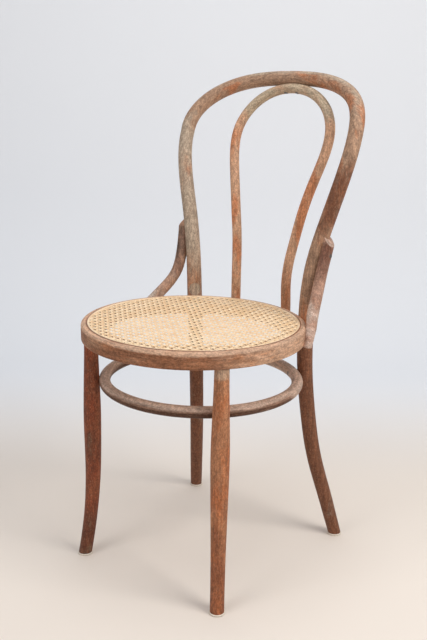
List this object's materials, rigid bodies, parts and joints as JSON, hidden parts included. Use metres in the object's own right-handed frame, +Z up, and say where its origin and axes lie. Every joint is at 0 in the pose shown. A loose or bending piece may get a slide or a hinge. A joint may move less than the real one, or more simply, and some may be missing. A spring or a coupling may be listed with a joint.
{
  "type": "dining chair",
  "caption": "Bentwood bistro chair with a round caned seat, a hoop back with an inner hoop, a stretcher ring and two short braces.",
  "frame": {"origin": "on the floor, under the middle of the whole chair's box", "axes": "+Z up, the chair faces -Y, +X is to the right when it is seen from the front"},
  "size_m": [0.404, 0.5054, 0.8991],
  "materials": {
    "wood_back": "worn beech, most of its varnish gone",
    "wood_inner": "worn beech, most of its varnish gone",
    "wood_seat": "worn beech, most of its varnish gone",
    "wood_leg": "worn beech with reddish stain",
    "wood_stretcher": "greyed bare beech",
    "wood_brace": "worn beech, greyed at its cut ends",
    "cane": "natural rattan cane, silky",
    "steel": "dull darkened steel",
    "glide": "plain off-white"
  },
  "bodies": {
    "root": {"back_hoop": "wood_back", "brace_hoop_screws": "steel", "brace_left": "wood_brace", "brace_right": "wood_brace", "brace_seat_screws": "steel", "cane_panel": "cane", "cane_spline": "cane", "crown_screws": "steel", "front_leg_left": "wood_leg", "front_leg_right": "wood_leg", "glide_front_left": "glide", "glide_front_right": "glide", "glide_nails": "steel", "glide_rear_left": "glide", "glide_rear_right": "glide", "inner_hoop": "wood_inner", "inner_hoop_foot_screws": "steel", "seat_bolt_nuts": "steel", "seat_bolt_washers": "steel", "seat_bolts": "steel", "seat_ring": "wood_seat", "stretcher_ring": "wood_stretcher", "stretcher_screws": "steel"}
  },
  "joints": []
}
